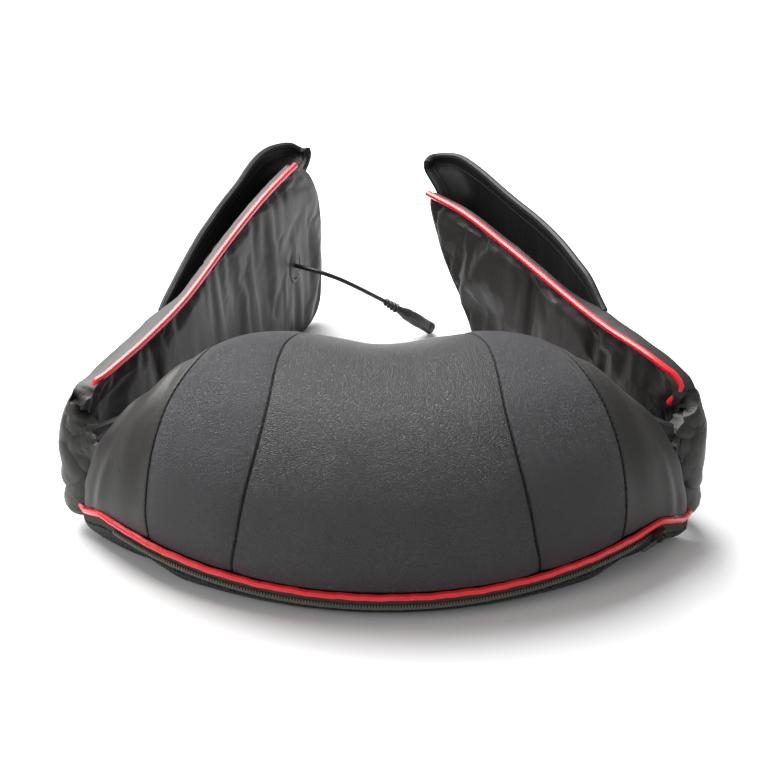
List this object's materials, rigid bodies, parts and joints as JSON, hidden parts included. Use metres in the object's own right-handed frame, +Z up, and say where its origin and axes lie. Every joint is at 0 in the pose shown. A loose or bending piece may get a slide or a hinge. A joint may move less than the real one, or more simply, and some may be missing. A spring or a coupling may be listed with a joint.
{
  "type": "shiatsu neck massager",
  "caption": "Crescent-shaped padded neck massager with kneading heads inside, two folding padded straps that end in hand loops, red piping, a zip and a short inlet lead.",
  "frame": {"origin": "middle of the flat patch on the neck side, which rests on the table", "axes": "+Z up out of the padded back, +X to the right and +Y from the closed side of the U towards the straps' ends"},
  "size_m": [0.436, 0.4343, 0.167],
  "materials": {
    "black_leather": "pebbled, soft sheen",
    "strap_fabric": "satin-like, gathered",
    "loop_fabric": "smooth, bound edge",
    "neck_mesh": "breathable mesh",
    "red_piping": "glossy vinyl",
    "zip_fabric": "woven tape",
    "foam": "open-cell foam",
    "housing_plastic": "moulded, matte",
    "gear_plastic": "moulded acetal",
    "head_plastic": "moulded, smooth",
    "node_plastic": "smooth, slightly soft",
    "steel": "turned and drawn",
    "bronze": "sintered",
    "circuit_board": "solder mask",
    "black_plastic": "fine moulded texture",
    "button_plastic": "soft matte",
    "cord_sheath": "smooth sheath"
  },
  "bodies": {
    "body": {"center_leather_panel": "black_leather", "left_leather_panel": "black_leather", "right_leather_panel": "black_leather", "left_end_panel": "strap_fabric", "right_end_panel": "strap_fabric", "neck_mesh_cover": "neck_mesh", "back_foam": "foam", "neck_foam_ring": "foam", "lower_rim_piping": "red_piping", "upper_rim_piping": "red_piping", "zip_tape": "zip_fabric", "zip_coil": "zip_fabric", "back_housing": "housing_plastic", "drive_plate": "housing_plastic", "housing_screw_1": "steel", "housing_screw_2": "steel", "housing_screw_3": "steel", "housing_screw_4": "steel", "motor_can": "steel", "motor_bracket": "steel", "left_gearbox": "housing_plastic", "right_gearbox": "housing_plastic", "left_gearbox_lid": "housing_plastic", "right_gearbox_lid": "housing_plastic", "left_bush": "bronze", "right_bush": "bronze", "control_board": "circuit_board"},
    "rotor": {"motor_shaft": "steel", "left_worm": "gear_plastic", "right_worm": "gear_plastic"},
    "left_head": {"left_worm_wheel": "gear_plastic", "left_output_shaft": "steel", "left_kneading_arm": "head_plastic", "left_large_node_1": "node_plastic", "left_large_node_2": "node_plastic", "left_small_node_1": "node_plastic", "left_small_node_2": "node_plastic"},
    "right_head": {"right_worm_wheel": "gear_plastic", "right_output_shaft": "steel", "right_kneading_arm": "head_plastic", "right_large_node_1": "node_plastic", "right_large_node_2": "node_plastic", "right_small_node_1": "node_plastic", "right_small_node_2": "node_plastic"},
    "left_strap": {"left_strap_panel": "strap_fabric", "left_loop_panel": "loop_fabric", "left_strap_piping": "red_piping", "cord_grommet": "black_plastic", "power_lead": "cord_sheath", "lead_boot": "cord_sheath", "dc_connector": "black_plastic"},
    "right_strap": {"right_strap_panel": "strap_fabric", "right_loop_panel": "loop_fabric", "right_strap_piping": "red_piping", "control_bezel": "black_plastic"},
    "slider": {"zip_slider": "black_plastic"},
    "pull": {"zip_pull": "black_plastic"},
    "power_key": {"power_button": "button_plastic"},
    "direction_key": {"direction_button": "button_plastic"},
    "heat_key": {"heat_button": "button_plastic"}
  },
  "joints": [
    {"name": "left_strap_fold", "type": "hinge", "parent": "body", "child": "left_strap", "pos_m": [-0.211, 0.049, 0], "axis": [0, 0, 1], "range_deg": [0, 69]},
    {"name": "right_strap_fold", "type": "hinge", "parent": "body", "child": "right_strap", "pos_m": [0.211, 0.049, 0], "axis": [0, 0, -1], "range_deg": [0, 70]},
    {"name": "left_knead", "type": "hinge", "parent": "body", "child": "left_head", "pos_m": [-0.078, 0.03, 0.061], "axis": [0, -0.3746, 0.9272], "continuous": true},
    {"name": "right_knead", "type": "hinge", "parent": "body", "child": "right_head", "pos_m": [0.078, 0.03, 0.061], "axis": [0, -0.3746, 0.9272], "continuous": true},
    {"name": "motor_spin", "type": "hinge", "parent": "body", "child": "rotor", "pos_m": [0, 0.00509, 0.06927], "axis": [1, 0, 0], "continuous": true},
    {"name": "zip_travel", "type": "hinge", "parent": "body", "child": "slider", "pos_m": [0, 0.21669, 0.06936], "axis": [0, -0.1981, 0.9802], "range_deg": [-75, 0]},
    {"name": "zip_pull_swing", "type": "hinge", "parent": "slider", "child": "pull", "pos_m": [0.19148, -0.00468, 0.02444], "axis": [0.029, -0.2315, 0.9724], "range_deg": [0, 160]},
    {"name": "power_press", "type": "slide", "parent": "right_strap", "child": "power_key", "axis": [0.7955, 0.606, 0], "range_m": [-0.0008, 0], "stiffness_N_per_m": 300},
    {"name": "direction_press", "type": "slide", "parent": "right_strap", "child": "direction_key", "axis": [0.7955, 0.606, 0], "range_m": [-0.0008, 0], "stiffness_N_per_m": 300},
    {"name": "heat_press", "type": "slide", "parent": "right_strap", "child": "heat_key", "axis": [0.7955, 0.606, 0], "range_m": [-0.0008, 0], "stiffness_N_per_m": 300}
  ],
  "couplings": [
    {"joint": "right_knead", "follows": "left_knead", "ratio": -1},
    {"joint": "motor_spin", "follows": "left_knead", "ratio": 24}
  ]
}
